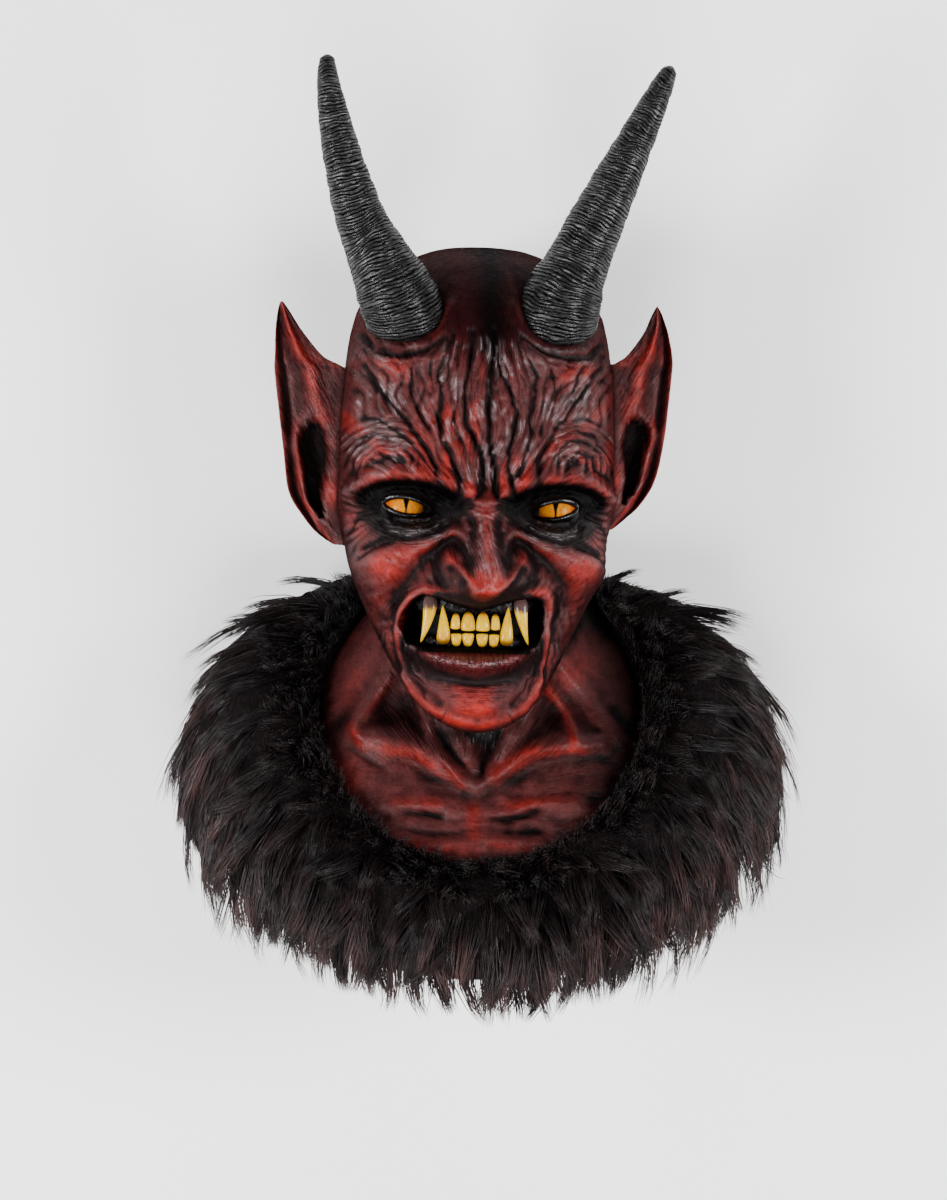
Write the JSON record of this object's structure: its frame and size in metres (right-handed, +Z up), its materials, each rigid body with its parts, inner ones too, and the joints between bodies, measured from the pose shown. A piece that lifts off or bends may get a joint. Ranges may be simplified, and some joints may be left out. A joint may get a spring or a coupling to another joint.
{
  "type": "over-the-head devil mask",
  "caption": "Over-the-head devil costume mask lying face up: hollow latex head and chest with curved horns, pointed ears, bared teeth and a faux fur collar.",
  "frame": {"origin": "middle of the base of the whole mask's box, on the surface that it lies on", "axes": "+X towards the wearer's left, +Y from the chin to the crown and the horns, +Z up, out of the face"},
  "size_m": [0.3954, 0.5857, 0.2584],
  "materials": {
    "latex_skin": "satin, airbrushed red over black with grey dry brushing",
    "horn": "satin black with grey dry brushing on fine rings",
    "eye": "glossy amber with a black slit",
    "teeth": "glossy amber teeth on glossy black gums",
    "fur": "long-pile faux fur, black at the neck and dark brown outside"
  },
  "bodies": {
    "root": {"mask_skin": "latex_skin", "horn_left": "horn", "horn_right": "horn", "eye_left": "eye", "eye_right": "eye", "upper_teeth": "teeth", "lower_teeth": "teeth", "fur_collar": "fur"}
  },
  "joints": []
}
